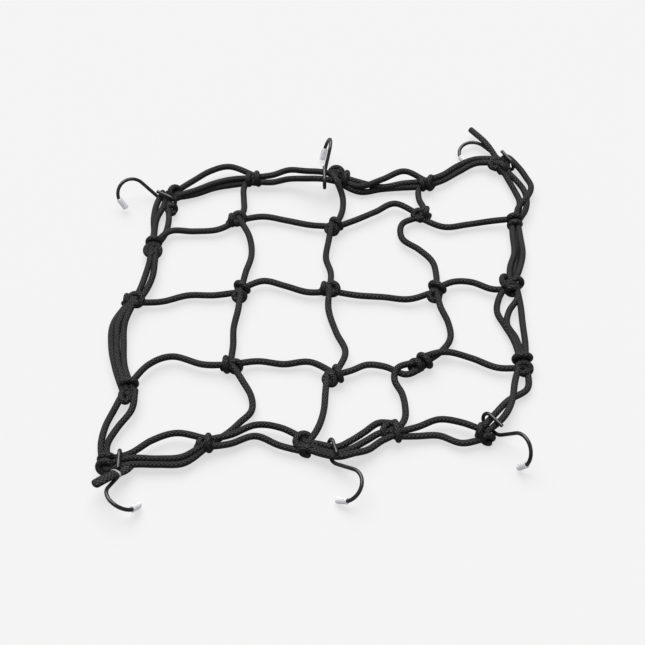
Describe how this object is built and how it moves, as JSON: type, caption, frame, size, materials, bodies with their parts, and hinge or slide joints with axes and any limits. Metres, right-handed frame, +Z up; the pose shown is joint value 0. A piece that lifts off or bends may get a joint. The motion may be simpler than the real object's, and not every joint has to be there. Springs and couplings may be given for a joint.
{
  "type": "luggage net",
  "caption": "Elastic cord luggage net with knotted meshes, a border of several cords side by side and wire hooks with soft tips, lying slack.",
  "frame": {"origin": "on the floor under the middle of the whole part's bounding box", "axes": "+Z up from the floor, +Y from the near edge to the far edge, +X to the right along the near edge"},
  "size_m": [0.3131, 0.3514, 0.0243],
  "materials": {
    "elastic_cord": "black braided sheath over elastic, slight sheen",
    "coated_wire": "black plastic coating on steel wire, semi-gloss",
    "soft_cap": "milky white soft plastic"
  },
  "bodies": {
    "root": {"net": "elastic_cord", "hook_far_left": "coated_wire", "hook_far_middle": "coated_wire", "hook_far_right": "coated_wire", "hook_near_left": "coated_wire", "hook_near_middle": "coated_wire", "hook_near_right": "coated_wire", "cap_far_left": "soft_cap", "cap_far_middle": "soft_cap", "cap_far_right": "soft_cap", "cap_near_left": "soft_cap", "cap_near_middle": "soft_cap", "cap_near_right": "soft_cap"}
  },
  "joints": []
}
